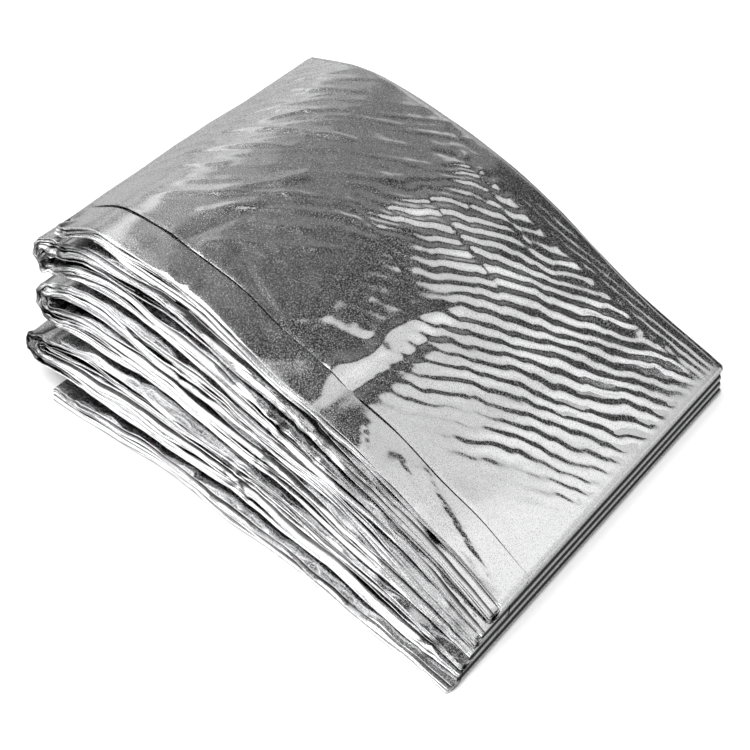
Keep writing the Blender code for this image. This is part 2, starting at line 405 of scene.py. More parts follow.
def layer_columns(layer):
    """Columns across one layer, from front to back, as (share of the way to the back, inset)."""
    strip = SHOWN_STRIP_INSETS if layer == LAYERS - 2 else ()
    middle = {LAYERS - 2: SHOWN_MIDDLE_SHARES, 0: ROLL_MIDDLE_SHARES}.get(layer, MIDDLE_SHARES)
    near_front = [(0.0, inset) for inset in TIP_INSETS + strip]
    near_back = [(1.0, -inset) for inset in reversed(BACK_TIP_INSETS)]
    return near_front + [(share, 0.0) for share in middle] + near_back


columns = [dict(layer=LAYERS - 1, partner=LAYERS - 1, share=0.0, inset=0.0)]
for layer in reversed(range(LAYERS)):
    to_back = layer % 2 == 0
    crossing = layer_columns(layer)
    for share, inset in crossing if to_back else reversed(crossing):
        columns.append(dict(layer=layer, partner=layer, share=share, inset=inset))
    columns.append(dict(layer=layer, partner=max(layer - 1, 0), share=1.0 if to_back else 0.0, inset=0.0))
COLUMN_LAYER = np.array([column["layer"] for column in columns])
COLUMN_PARTNER = np.array([column["partner"] for column in columns])
COLUMN_SHARE = np.array([column["share"] for column in columns])
COLUMN_INSET = np.array([column["inset"] for column in columns])
print(len(columns), "columns,", int((COLUMN_LAYER != COLUMN_PARTNER).sum()), "of them on pleats")


# %% Place one row of a pass
def column_edges(number, x):
    """Y of the front and of the back edge of each column's layer."""
    places = np.arange(len(x))
    fronts = np.array([front_y(number, layer, x) for layer in range(LAYERS)])
    backs = np.array([back_y(number, layer, x) for layer in range(LAYERS)])
    return fronts[COLUMN_LAYER, places], backs[COLUMN_LAYER, places]


def row_of_pass(number, x):
    """The points of every column, where x holds one value for each column."""
    places = np.arange(len(x))
    y = mix(*column_edges(number, x), COLUMN_SHARE) + COLUMN_INSET
    lower, upper = pass_levels(x, y)
    depths = layer_depths(number, x, y)
    depth = (depths[COLUMN_LAYER, places] + depths[COLUMN_PARTNER, places]) / 2
    return np.stack((x, y, mix(upper[number], lower[number], depth)), axis=1)


# %% [markdown]
# ## The rows of the mesh
# The rows follow the strip along its 1.30 m: along a pass, round a turn, and back. In a turn the layers are
# nested half circles. The layer that was on top comes out at the bottom, which is why the order of the
# layers flips from one pass to the next. At the fan end the turns are a little pointed, as film is where it
# was once creased.

# %% Lay out the rows
PASS_STEPS = 96
COARSE_STEP = 3
SPINE_TURN_STEPS = 8
FAN_TURN_STEPS = 8
TURN_POINT = 1.15
# The layers at the strip's two free ends don't end quite together.
RAGGED_BY = 0.7
RAGGED = RAGGED_BY * edge_random.uniform(-1, 1, LAYERS) * MM


def pass_rows(number):
    """The rows of one pass, in the order in which the strip runs."""
    to_spine = number % 2 == 0
    start = fan_x(number, COLUMN_SHARE)
    if number in (0, PASSES - 1):
        start = start + RAGGED[COLUMN_LAYER]
    end = np.full_like(start, spine_x(number))
    shares = np.linspace(0, 1, PASS_STEPS + 1)
    return [row_of_pass(number, mix(start, end, share if to_spine else 1 - share)) for share in shares]


def turn_rows(number, before, after):
    """Rows round the turn between the last row of a pass and the first row of the next one."""
    at_spine = number % 2 == 0
    steps = SPINE_TURN_STEPS if at_spine else FAN_TURN_STEPS
    side = 1.0 if at_spine else -TURN_POINT
    radius = (before[:, 2] - after[:, 2]) / 2
    middle = (before[:, 2] + after[:, 2]) / 2
    rows = []
    for step in range(1, steps):
        turned = step / steps
        angle = math.pi * turned
        x = mix(before[:, 0], after[:, 0], turned) + side * radius * math.sin(angle)
        y = mix(before[:, 1], after[:, 1], turned)
        rows.append(np.stack((x, y, middle + radius * math.cos(angle)), axis=1))
    return rows


grid = []
row_is_coarse = []
pass_start = []
for number in range(PASSES):
    rows = pass_rows(number)
    if grid:
        bend = turn_rows(number - 1, grid[-1], rows[0])
        grid += bend
        row_is_coarse += [True] * len(bend)
    pass_start.append(len(grid))
    grid += rows
    row_is_coarse += [step % COARSE_STEP == 0 for step in range(PASS_STEPS + 1)]
grid = np.array(grid)
print("grid of", grid.shape[0], "rows by", grid.shape[1], "columns")

# %% [markdown]
# ## The top panel
# The panel on top is seen most, so it gets a much finer grid of its own. Film under a little pull
# wrinkles into long parallel ripples. One wave would look like a washboard, so three trains of waves with
# slightly different pitches and directions are added: where they fall out of step, a ripple splits, thins
# or ends. Noise bends them, and they slip sideways where they cross an older fold mark. On the left the
# film is slacker, and two trains of wider and sharper swells take over.

# %% Noise for whole arrays
def noise_at(x, y, size, seed):
    """Smooth noise from about -1 to 1 over the packet. size is the width of its spots in metres."""
    places = zip(np.ravel(x) / size, np.ravel(y) / size)
    values = [noise.noise(Vector((px, py, seed))) for px, py in places]
    return np.array(values).reshape(np.shape(x))


# %% Trains of ripples
RIPPLE_HEIGHT = 0.15 * MM
RIPPLE_TRAINS = (
    dict(angle=math.radians(38), pitch=4.15 * MM, share=1.00),
    dict(angle=math.radians(45), pitch=3.50 * MM, share=0.36),
    dict(angle=math.radians(31), pitch=5.20 * MM, share=0.34),
)
SWELL_HEIGHT = 0.34 * MM
SWELL_TRAINS = (
    dict(angle=math.radians(45), pitch=6.3 * MM, share=1.00),
    dict(angle=math.radians(52), pitch=8.1 * MM, share=0.45),
)
CREST_SHARPNESS = 3.6
MARK_WIDTH = 1.6 * MM
MARK_FADE = 5
FOLD_MARKS = (
    dict(start=(0.300, 0.567), end=(0.610, 0.439), slip=2.2 * MM),
    dict(start=(0.390, 0.725), end=(0.660, 0.648), slip=-1.9 * MM),
    dict(start=(0.440, 0.905), end=(0.700, 0.790), slip=1.8 * MM),
)


def on_packet(along, across):
    """X and Y of a place given as shares of the packet."""
    return mix(FAN_X, SPINE_X, along), mix(FRONT_Y, BACK_Y, across)


def phases(trains, x, y, shift):
    """The phase of each train of waves at each place, and the train's share."""
    for train in trains:
        aside = y * math.cos(train["angle"]) - x * math.sin(train["angle"])
        yield 2 * np.pi * (aside + shift) / train["pitch"], train["share"]


def straight_run(start, end):
    """The length of a straight line, and its direction as x and y."""
    length = math.dist(start, end)
    return length, (end[0] - start[0]) / length, (end[1] - start[1]) / length


def slip_at_marks(x, y):
    """How far the ripples are shifted where they cross older fold marks."""
    slip = np.zeros(np.shape(x))
    for mark in FOLD_MARKS:
        start, end = on_packet(*mark["start"]), on_packet(*mark["end"])
        length, run_x, run_y = straight_run(start, end)
        share = ((x - start[0]) * run_x + (y - start[1]) * run_y) / length
        beside = (y - start[1]) * run_x - (x - start[0]) * run_y
        fade = ease(share * MARK_FADE) * ease((1 - share) * MARK_FADE)
        slip = slip + mark["slip"] * fade * ease(0.5 + beside / MARK_WIDTH)
    return slip


print("trains of waves:", len(RIPPLE_TRAINS) + len(SWELL_TRAINS), " fold marks:", len(FOLD_MARKS))

# %% [markdown]
# ## Creases placed one by one
# The main creases give the panel its character, and they are listed in a table. Each one is a line
# of a few points. A ridge or a groove has straight flanks like a tent, so that both sides mirror an even
# tone and meet in a sharp line. Where a ridge and a groove run side by side, the strip between them tilts
# as one facet.

# %% List the creases
# height: negative for a groove.  width: of one flank.  line: (along, across) points on the packet.
CREASE_COLUMNS = ("height", "width", "line")
CREASE_ROWS = (
    # The wide bright facet that runs back from the front edge, and the dark one beside it.
    (0.50 * MM, 4.5 * MM, ((0.604, 0.00), (0.574, 0.125), (0.592, 0.178), (0.617, 0.290))),
    (-0.50 * MM, 5.5 * MM, ((0.612, 0.00), (0.622, 0.120), (0.632, 0.290))),
    (0.44 * MM, 3.6 * MM, ((0.606, 0.215), (0.593, 0.290), (0.594, 0.350), (0.625, 0.510))),
    (-0.44 * MM, 4.0 * MM, ((0.632, 0.225), (0.634, 0.310), (0.634, 0.370), (0.652, 0.530))),
    # Short creases beside the facet.
    (0.22 * MM, 1.8 * MM, ((0.475, 0.25), (0.512, 0.285), (0.545, 0.315), (0.580, 0.340))),
    (0.25 * MM, 2.0 * MM, ((0.515, 0.335), (0.560, 0.373), (0.600, 0.400))),
    (0.20 * MM, 1.6 * MM, ((0.530, 0.255), (0.578, 0.262))),
    (-0.22 * MM, 2.2 * MM, ((0.500, 0.205), (0.550, 0.225), (0.590, 0.250))),
    # Old fold marks across the ripples.
    (-0.12 * MM, 1.2 * MM, ((0.300, 0.567), (0.465, 0.504), (0.610, 0.439))),
    (-0.12 * MM, 1.2 * MM, ((0.390, 0.725), (0.456, 0.706), (0.640, 0.654))),
    (-0.12 * MM, 1.2 * MM, ((0.440, 0.905), (0.521, 0.867), (0.700, 0.790))),
    # The wide folds on the left and their valley.
    (0.52 * MM, 3.0 * MM, ((0.100, 0.165), (0.203, 0.298), (0.248, 0.414), (0.302, 0.57))),
    (0.40 * MM, 2.6 * MM, ((0.290, 0.55), (0.320, 0.589), (0.366, 0.652), (0.410, 0.720))),
    (0.52 * MM, 3.0 * MM, ((0.205, 0.18), (0.252, 0.297), (0.278, 0.406), (0.340, 0.470))),
    (-0.30 * MM, 3.0 * MM, ((0.240, 0.09), (0.257, 0.200), (0.278, 0.293), (0.288, 0.39))),
    # Small folds in the dark middle.
    (0.30 * MM, 2.2 * MM, ((0.265, 0.115), (0.299, 0.197), (0.318, 0.224), (0.342, 0.245))),
    (-0.30 * MM, 2.4 * MM, ((0.308, 0.190), (0.368, 0.154), (0.416, 0.132), (0.490, 0.108))),
    (-0.20 * MM, 1.8 * MM, ((0.315, 0.190), (0.360, 0.216))),
    (0.32 * MM, 2.8 * MM, ((0.315, 0.378), (0.365, 0.352), (0.415, 0.324))),
    (0.18 * MM, 3.0 * MM, ((0.455, 0.10), (0.500, 0.200), (0.500, 0.300))),
    # The back edge, and the strip in front of the cut edge.
    (-0.30 * MM, 2.4 * MM, ((0.350, 0.977), (0.395, 0.945), (0.450, 0.960))),
    (0.35 * MM, 1.8 * MM, ((0.245, 0.080), (0.268, 0.045), (0.287, 0.00))),
    (0.25 * MM, 2.0 * MM, ((0.180, 0.060), (0.200, 0.020))),
    (0.35 * MM, 1.8 * MM, ((0.310, 0.050), (0.335, 0.000))),
    (-0.25 * MM, 1.6 * MM, ((0.440, 0.075), (0.500, 0.045))),
    (0.60 * MM, 1.8 * MM, ((0.662, 0.085), (0.682, 0.040), (0.704, 0.006))),
    (0.50 * MM, 1.6 * MM, ((0.730, 0.075), (0.785, 0.036), (0.832, 0.014))),
    (0.72 * MM, 2.2 * MM, ((0.755, 0.098), (0.868, 0.042), (0.985, 0.012))),
    # Thin ridges at the back left.
    (0.55 * MM, 1.9 * MM, ((0.025, 0.845), (0.104, 0.889), (0.170, 0.956))),
    (0.52 * MM, 1.8 * MM, ((0.035, 0.769), (0.098, 0.806), (0.194, 0.898))),
    (0.45 * MM, 1.7 * MM, ((0.090, 0.660), (0.132, 0.700), (0.185, 0.745))),
    (0.52 * MM, 1.8 * MM, ((0.170, 0.705), (0.233, 0.785), (0.310, 0.870))),
    (0.60 * MM, 1.9 * MM, ((0.024, 0.494), (0.095, 0.547), (0.152, 0.597), (0.290, 0.720))),
    (0.60 * MM, 1.9 * MM, ((0.027, 0.383), (0.092, 0.428), (0.153, 0.503), (0.225, 0.580))),
    (0.40 * MM, 1.7 * MM, ((0.070, 0.318), (0.118, 0.358), (0.160, 0.412))),
)
CREASES = [dict(zip(CREASE_COLUMNS, row)) for row in CREASE_ROWS]
CREASE_FADE = 6
FLANK_POWER = 1.25


def crease_height(crease, x, y, uneven):
    """The height that one crease adds at each place."""
    line = [on_packet(*place) for place in crease["line"]]
    nearest = np.full(np.shape(x), np.inf)
    fade = np.zeros(np.shape(x))
    total = sum(math.dist(start, end) for start, end in zip(line, line[1:]))
    passed = 0.0
    for start, end in zip(line, line[1:]):
        length, run_x, run_y = straight_run(start, end)
        forward = np.clip((x - start[0]) * run_x + (y - start[1]) * run_y, 0, length)
        distance = np.hypot(x - start[0] - forward * run_x, y - start[1] - forward * run_y)
        share = (passed + forward) / total
        ends = ease(share * CREASE_FADE) * ease((1 - share) * CREASE_FADE)
        fade = np.where(distance < nearest, ends, fade)
        nearest = np.minimum(nearest, distance)
        passed += length
    flank = np.clip(1 - nearest / crease["width"], 0, 1)
    return crease["height"] * flank ** FLANK_POWER * fade * uneven


print(len(CREASES), "creases")

# %% [markdown]
# ## Noise for the panel
# All the ripples are bent by the same few fields of noise, so that neighbours bend together. The spots of a
# field can be stretched along the ripples, as film is stiff that way. The fields are worked out once and
# shared by the functions below, because noise is the slowest part of the panel.

# %% The fields of noise
# size of the spots, squeeze along the ripples and across them, seed.
FIELD_ROWS = dict(
    large=(30 * MM, 1, 0.6, 3.1),
    medium=(10 * MM, 1, 1, 8.7),
    small=(4 * MM, 1, 1, 9.9),
    patches=(13 * MM, 0.45, 1.6, 21.3),
    strands=(16 * MM, 0.35, 1, 5.5),
)


def along_ripples(x, y):
    """The place measured along the ripples, and across them."""
    angle = RIPPLE_TRAINS[0]["angle"]
    lengthwise = x * math.cos(angle) + y * math.sin(angle)
    return lengthwise, y * math.cos(angle) - x * math.sin(angle)


def ripple_fields(x, y):
    """Every field of noise at each place, by name."""
    lengthwise, aside = along_ripples(x, y)
    fields = {}
    for name, (size, squeeze_along, squeeze_aside, seed) in FIELD_ROWS.items():
        fields[name] = noise_at(lengthwise * squeeze_along, aside * squeeze_aside, size, seed)
    return fields


def fade_in(value, start, reach):
    """0 up to start, and 1 from start + reach."""
    return ease((value - start) / reach)


def fade_out(value, end, reach):
    """1 up to end - reach, and 0 from end."""
    return ease((end - value) / reach)


print("fields of noise:", ", ".join(FIELD_ROWS))

# %% [markdown]
# ## Ripples and swells
# Each kind of relief is added only where the film has it. A pair of numbers says where it starts, as a
# share of the packet, and over what further share it comes in. The ripples are pushed sideways by noise, by
# the fold marks, and by a sawtooth that makes them jump a little, as if they caught on something.

# %% How ripples and swells run
RIPPLE_SHIFT = dict(large=3.0 * MM, medium=1.1 * MM, small=0.35 * MM)
SWELL_SHIFT = dict(large=2.8 * MM, medium=0.6 * MM)
TOOTH_SHIFT = dict(medium=4 * MM, large=3 * MM)
TOOTH_PITCH = 8 * MM
TOOTH_SLANT = 0.35
TOOTH_SLIP = 0.9 * MM
TOOTH_JUMP = (0.72, 0.28)
LEAN_FRONT = -0.55
LEAN_BACK = 0.45
LEAN_ACROSS = (0.40, 0.40)
LEAN_ALONG = 0.75
LEAN_SLANT = 0.5
RIGHT_ALONG = (0.60, 0.05)
RIGHT_REACH_ACROSS = 0.20
RIGHT_FRONT = 0.10
RIGHT_FRONT_ALONG = 0.70
RIGHT_FRONT_SLANT = 0.45
MIDDLE_ALONG = (0.30, 0.16)
MIDDLE_ACROSS = (0.30, 0.25)
MIDDLE_LEVEL = 0.80
MIDDLE_PATCHES = 0.6
RIPPLES_END_ACROSS = (0.905, 0.02)
HIGHER_ACROSS = (0.40, 0.25)
HIGHER_BY = 0.35
PATCH_LEVEL = 0.95
PATCH_SPREAD = 0.9
PATCH_RANGE = (0.15, 1.5)
SWELLS_END_ALONG = (0.48, 0.15)
SWELLS_ACROSS = (0.22, 0.12)
STRAND_LEVEL = 0.7
STRAND_SPREAD = 0.9
STRAND_RANGE = (0.1, 1)


def shifted(shifts, fields, start=0):
    """The start plus a share of each named field."""
    return sum((size * fields[name] for name, size in shifts.items()), start)


def ripple_shift(x, y, fields):
    """How far the ripples are pushed sideways at each place."""
    lengthwise, aside = along_ripples(x, y)
    tooth = shifted(TOOTH_SHIFT, fields, lengthwise + TOOTH_SLANT * aside) / TOOTH_PITCH % 1
    slip = TOOTH_SLIP * (tooth - fade_in(tooth, *TOOTH_JUMP))
    return shifted(RIPPLE_SHIFT, fields) + slip + slip_at_marks(x, y)


def right_share(along, across):
    """1 on the right of the panel, where the ripples are strongest."""
    front = RIGHT_FRONT + RIGHT_FRONT_SLANT * (along - RIGHT_FRONT_ALONG)
    return fade_in(along, *RIGHT_ALONG) * fade_in(across, front, RIGHT_REACH_ACROSS)


def ripples(x, y, along, across, shift, fields):
    """The trains of ripples. Their crests lean forward at the front and back at the back."""
    lean_start, lean_reach = LEAN_ACROSS
    leaning = ease((across - lean_start) / lean_reach + LEAN_SLANT * (LEAN_ALONG - along))
    lean = mix(LEAN_FRONT, LEAN_BACK, leaning)
    ripple = sum(share * np.sin(phase + lean * np.sin(phase))
                 for phase, share in phases(RIPPLE_TRAINS, x, y, shift))
    middle = fade_in(along, *MIDDLE_ALONG) * fade_in(across, *MIDDLE_ACROSS)
    middle = middle * (MIDDLE_LEVEL + MIDDLE_PATCHES * fields["patches"])
    height = RIPPLE_HEIGHT * (1 + HIGHER_BY * fade_in(across, *HIGHER_ACROSS))
    height = height * np.clip(PATCH_LEVEL + PATCH_SPREAD * fields["patches"], *PATCH_RANGE)
    height = height * np.maximum(right_share(along, across), middle)
    return height * fade_out(across, *RIPPLES_END_ACROSS) * ripple


def swells(x, y, along, across, fields):
    """Wide swells with sharp crests, on the left of the panel."""
    shift = shifted(SWELL_SHIFT, fields)
    crest = sum(share * np.exp(CREST_SHARPNESS * (np.cos(phase) - 1))
                for phase, share in phases(SWELL_TRAINS, x, y, shift))
    height = SWELL_HEIGHT * (fade_out(along, *SWELLS_END_ALONG) * fade_in(across, *SWELLS_ACROSS))
    return height * np.clip(STRAND_LEVEL + STRAND_SPREAD * fields["strands"], *STRAND_RANGE) * crest


# %% [markdown]
# ## The fold mark at the back, and fine crumples
# Once the packet was folded a little further in, and a line of small beads is left along the back. Behind
# it run a few lines parallel to the edge. The middle of the panel, which mirrors the dark side of the room,
# is crumpled by noise. The absolute value of a noise gives sharp valleys where it passes through 0.

# %% Beads, lines and crumples
BEAD_PITCH = 6.2 * MM
BEAD_HEIGHT = 0.42 * MM
BEAD_WIDTH = 2.2 * MM
BEAD_SHIFT = 0.4
BEADS_ACROSS = 0.915
BEADS_SLANT = 0.02
BEADS_ALONG = (0.36, 0.08)
BEADS_END_ALONG = (0.98, 0.1)
LINE_PITCH = 2.6 * MM
LINE_HEIGHT = 0.07 * MM
LINE_SLANT = 0.12
LINE_SHIFT = 0.5
LINES_ACROSS = (0.90, 0.02)
LINES_ALONG = (0.3, 0.3)
# size of the spots, height, seed.
SOFT_CRUMPLE_ROWS = ((13 * MM, 0.30 * MM, 51.9), (3.5 * MM, 0.05 * MM, 40.2))
VALLEY_SIZE = 7 * MM
VALLEY_HEIGHT = 0.16 * MM
VALLEY_SQUEEZE = 0.6
VALLEY_SEED = 63.0
VALLEYS_ALONG = (0.12, 0.15)
VALLEYS_END_ALONG = (0.62, 0.1)
CRUMPLE_LEFT_ON_RIGHT = 0.35


def beads(x, y, along, shift):
    """A line of small beads near the back edge."""
    bead = np.maximum(np.sin(2 * np.pi * (x + BEAD_SHIFT * shift) / BEAD_PITCH), 0)
    bead_y = mix(FRONT_Y, BACK_Y, BEADS_ACROSS - BEADS_SLANT * along)
    bead = BEAD_HEIGHT * np.clip(1 - np.abs(y - bead_y) / BEAD_WIDTH, 0, 1) * bead
    return bead * fade_in(along, *BEADS_ALONG) * fade_out(along, *BEADS_END_ALONG)


def back_lines(x, y, along, across, shift):
    """Thin lines behind the beads."""
    line = np.sin(2 * np.pi * (y - LINE_SLANT * x + LINE_SHIFT * shift) / LINE_PITCH)
    return LINE_HEIGHT * fade_in(across, *LINES_ACROSS) * fade_in(along, *LINES_ALONG) * line


def soft_crumples(x, y, along, across):
    """Crumples all over, with sharp valleys in the middle."""
    crumple = sum(height * noise_at(x, y, size, seed) for size, height, seed in SOFT_CRUMPLE_ROWS)
    crumpled = fade_out(along, *VALLEYS_END_ALONG) * fade_in(along, *VALLEYS_ALONG)
    valley = np.abs(noise_at(x + y, VALLEY_SQUEEZE * (y - x), VALLEY_SIZE, VALLEY_SEED))
    crumple = crumple + VALLEY_HEIGHT * crumpled * valley
    return crumple * mix(1, CRUMPLE_LEFT_ON_RIGHT, right_share(along, across))


# %% [markdown]
# ## The whole relief
# Now everything is added up. A crease drawn as a clean polyline would look ruled, so the places are shifted
# by noise before the creases are looked up, and each crease gets higher and lower on its way. The relief is
# faded out at the back edge and at both ends, where the panel joins the rest of the film.

# %% Add up the panel's relief
CREASE_BEND = 0.9 * MM
CREASE_BEND_SIZE = 8 * MM
CREASE_BEND_SEEDS = (31.7, 47.1)
CREASE_UNEVEN_SIZE = 9 * MM
CREASE_UNEVEN_SEED = 55.5
CREASE_LEVEL = 0.95
CREASE_SPREAD = 0.6
PANEL_END_ACROSS = (1, 0.03)
PANEL_END_ALONG = (0.993, 0.035)
PANEL_START_ALONG = (-0.02, 0.05)


def inside_panel(along, across):
    """1 on the panel, and a soft step to 0 at its back edge and its two ends."""
    inside = fade_out(across, *PANEL_END_ACROSS) * fade_out(along, *PANEL_END_ALONG)
    return inside * fade_in(along, *PANEL_START_ALONG)


def panel_relief(x, y):
    """How far the top panel stands off the smooth packet."""
    along = along_at(x)
    across = (y - FRONT_Y) / (BACK_Y - FRONT_Y)
    fields = ripple_fields(x, y)
    shift = ripple_shift(x, y, fields)
    relief = ripples(x, y, along, across, shift, fields) + swells(x, y, along, across, fields)
    relief = relief + beads(x, y, along, shift) + back_lines(x, y, along, across, shift)
    relief = relief + soft_crumples(x, y, along, across)
    bend_x, bend_y = (CREASE_BEND * noise_at(x, y, CREASE_BEND_SIZE, seed) for seed in CREASE_BEND_SEEDS)
    uneven = CREASE_LEVEL + CREASE_SPREAD * noise_at(x, y, CREASE_UNEVEN_SIZE, CREASE_UNEVEN_SEED)
    for crease in CREASES:
        relief = relief + crease_height(crease, x + bend_x, y + bend_y, uneven)
    return relief * inside_panel(along, across)


# %% Build the fine grid of the panel
PANEL_ROWS = 192
PANEL_COLUMNS = 130
PANEL_LIFT = 0.06 * MM
# Where the cut edge curls up: place along the packet, height, and half length as a share of the packet.
CUT_CURLS = (
    (0.120, 0.28 * MM, 0.05),
    (0.215, 0.38 * MM, 0.02),
    (0.435, 0.30 * MM, 0.03),
    (0.670, 0.30 * MM, 0.04),
    (0.850, 0.10 * MM, 0.10),
)
CURL_REACH = 3 * MM
CUT_ACROSS = 0.1
CUT_ROLL = 0.16 * MM
CUT_ROLL_WIDTH = 0.7 * MM
BACK_JOIN = 1.6 * MM
SPINE_JOIN = 0.06

panel_columns = int(np.argmax(COLUMN_LAYER != COLUMN_PARTNER))
pleat = grid[:PASS_STEPS + 1, panel_columns]
share = np.linspace(0, 1, PANEL_ROWS + 1)
path = np.linspace(0, 1, PASS_STEPS + 1)
back_line = np.stack([np.interp(share, path, pleat[:, axis]) for axis in range(3)], axis=1)
cut_x = mix(fan_x(0, CUT_ACROSS), spine_x(0), share)
cut_y = front_y(0, LAYERS - 1, cut_x)
across_share = np.linspace(0, 1, PANEL_COLUMNS + 1)[None, :]
panel_x = mix(cut_x[:, None], back_line[:, 0][:, None], across_share)
panel_y = mix(cut_y[:, None], back_line[:, 1][:, None], across_share)
flat_x, flat_y = panel_x.ravel(), panel_y.ravel()
top_height = pass_levels(flat_x, flat_y)[1][0].reshape(panel_x.shape)
relief = panel_relief(flat_x, flat_y).reshape(panel_x.shape)
curl = sum(height * np.exp(-((along_at(panel_x) - place) / reach) ** 2)
           for place, height, reach in CUT_CURLS)
from_cut = panel_y - cut_y[:, None]
curl = curl * np.exp(-from_cut / CURL_REACH) - CUT_ROLL * ease(1 - from_cut / CUT_ROLL_WIDTH)
to_back = ease((back_line[:, 1][:, None] - panel_y) / BACK_JOIN)
to_spine = ease((1 - share[:, None]) / SPINE_JOIN)
panel_z = top_height + relief + (PANEL_LIFT + CUT_ROLL + curl) * to_spine
panel_z = mix(back_line[:, 2][:, None], panel_z, to_back)
panel = np.stack((panel_x, panel_y, panel_z), axis=2)
print("top panel:", panel.shape[0], "by", panel.shape[1], "points")

# %% [markdown]
# ## The layers below follow
# Film lies close on film, so a crease in the panel is pressed into the layer under it too. The layers
# further down have too few columns to copy it, and a copy cut short would poke through, so they only give
# way by a fixed small amount. The lower passes get gentle bumps on the front strip where their top layer
# shows. The rolls at the fan end bulge outwards here and there, as nothing holds them.

# %% Press the relief into the layers
FOLLOW_LAYERS = 9.0
FOLLOW_DEEPEST = -0.15 * MM
column_rank = LAYERS - 1 - COLUMN_LAYER
top_rows = slice(0, PASS_STEPS + 1)
top_x, top_y = grid[top_rows, :, 0], grid[top_rows, :, 1]
follow = np.maximum(panel_relief(top_x.ravel(), top_y.ravel()), FOLLOW_DEEPEST).reshape(top_x.shape)
pressed_down = FOLLOW_DEEPEST * inside_panel(along_at(top_x), across_at(top_y))
follow = np.where(column_rank > 1, pressed_down, follow)
grid[top_rows, :, 2] += follow * np.exp(-column_rank / FOLLOW_LAYERS)

# %% Bumps on the strips that show
BUMP_SIZE = 6 * MM
BUMP_HEIGHT = 0.75 * MM
BUMP_SEED = 7.7
STRIP_FADE = 2 * MM
BUMPS_START_ALONG = (0, 0.05)
BUMPS_END_ALONG = (1, 0.1)
for number in range(1, PASSES):
    rows = slice(pass_start[number], pass_start[number] + PASS_STEPS + 1)
    x, y = grid[rows, :, 0], grid[rows, :, 1]
    showing = 1 - ease((y - front_edge(number - 1, x)) / STRIP_FADE)
    showing = showing * fade_in(along_at(x), *BUMPS_START_ALONG) * fade_out(along_at(x), *BUMPS_END_ALONG)
    rank = LAYERS - 1 - COLUMN_LAYER if number % 2 == 0 else COLUMN_LAYER
    bump = BUMP_HEIGHT * noise_at(x, y, BUMP_SIZE, BUMP_SEED * number)
    grid[rows, :, 2] += bump * showing * np.exp(-rank / FOLLOW_LAYERS)

# %% Bulges of the rolls at the fan end
ROLL_OUT = 0.35 * MM
ROLL_BUMP = 1.8 * MM
ROLL_BUMP_SIZE = 14 * MM
ROLL_BUMP_SEED = 4.4
ROLL_FADE = 6 * MM
outer_roll = np.flatnonzero((COLUMN_LAYER == 0) & (COLUMN_PARTNER == 0))
for number in range(2, PASSES, 2):
    first = pass_start[number - 1] + PASS_STEPS + 1
    for row in range(first, pass_start[number]):
        turned = (row - first + 1) / (pass_start[number] - first + 1)
        y = grid[row, outer_roll, 1]
        inner = ease((y - y.min()) / ROLL_FADE) * ease((y.max() - y) / ROLL_FADE)
        beside = np.full_like(y, number + 0.01 * turned)
        bumps = np.maximum(noise_at(y, beside, ROLL_BUMP_SIZE, ROLL_BUMP_SEED * turned), 0)
        out = (ROLL_OUT + ROLL_BUMP * bumps) * inner * math.sin(math.pi * turned)
        grid[row, outer_roll, 0] -= out
print("relief of the panel, mm:", np.round([relief.min() / MM, relief.max() / MM], 2))

# %% [markdown]
# ## One mesh from grids of different fineness
# The pleat edges at the front show, so they get many rows, and the hidden middle of the layers gets few.
# Two columns with different rows can be zipped: walk along both at once, and at each step make a triangle
# on the side that is behind. The fine panel is zipped to the rest in the same way. The film stays one
# connected surface, as it is in life.

# %% Number the points and make the faces
rows, width = grid.shape[:2]
shows = (COLUMN_SHARE == 0) & (COLUMN_LAYER < LAYERS - 1)
row_is_coarse = np.array(row_is_coarse)
keep = row_is_coarse[:, None] | shows[None, :]
hidden_strip = (COLUMN_INSET > TIP_INSETS[-1]) & shows
keep[PASS_STEPS + 1:, :] &= row_is_coarse[PASS_STEPS + 1:, None] | ~hidden_strip[None, :]
keep[:PASS_STEPS + 1, :panel_columns + 1] = False
point_id = np.full((rows, width), -1)
point_id[keep] = np.arange(keep.sum())
panel_id = keep.sum() + np.arange(panel.shape[0] * panel.shape[1]).reshape(panel.shape[:2])
points = np.concatenate((grid[keep], panel.reshape(-1, 3)))


def zip_lines(first, first_at, second, second_at):
    """Triangles between two lines of point numbers. The _at lists say how far along each point lies."""
    faces = []
    i, j = 0, 0
    while i < len(first) - 1 or j < len(second) - 1:
        first_next = first_at[i + 1] if i < len(first) - 1 else math.inf
        second_next = second_at[j + 1] if j < len(second) - 1 else math.inf
        if first_next <= second_next:
            faces.append((first[i], second[j], first[i + 1]))
            i += 1
        else:
            faces.append((first[i], second[j], second[j + 1]))
            j += 1
    return faces


faces = []
for column in range(width - 1):
    start = PASS_STEPS + 1 if column < panel_columns else 0
    lines = []
    for beside in (column, column + 1):
        line_start = PASS_STEPS + 1 if beside <= panel_columns else 0
        places = [row for row in range(line_start, rows) if keep[row, beside]]
        ids = point_id[places, beside].tolist()
        if beside == panel_columns and column == panel_columns:
            ids = panel_id[:, -1].tolist() + ids
            places = np.linspace(0, PASS_STEPS, PANEL_ROWS + 1).tolist() + places
        lines += [ids, places]
    faces += zip_lines(*lines)
for row in range(PANEL_ROWS):
    for column in range(PANEL_COLUMNS):
        near, far = panel_id[row, column:column + 2].tolist(), panel_id[row + 1, column:column + 2].tolist()
        faces.append((near[0], near[1], far[1], far[0]))
turn_places = np.linspace(0, 1, PANEL_COLUMNS + 1).tolist()
turn_y = grid[PASS_STEPS + 1, :panel_columns + 1, 1]
turn_at = ((turn_y - turn_y[0]) / (turn_y[-1] - turn_y[0])).tolist()
turn_ids = point_id[PASS_STEPS + 1, :panel_columns + 1].tolist()
faces += zip_lines(turn_ids, turn_at, panel_id[-1].tolist(), turn_places)
print(len(points), "points and", len(faces), "faces")
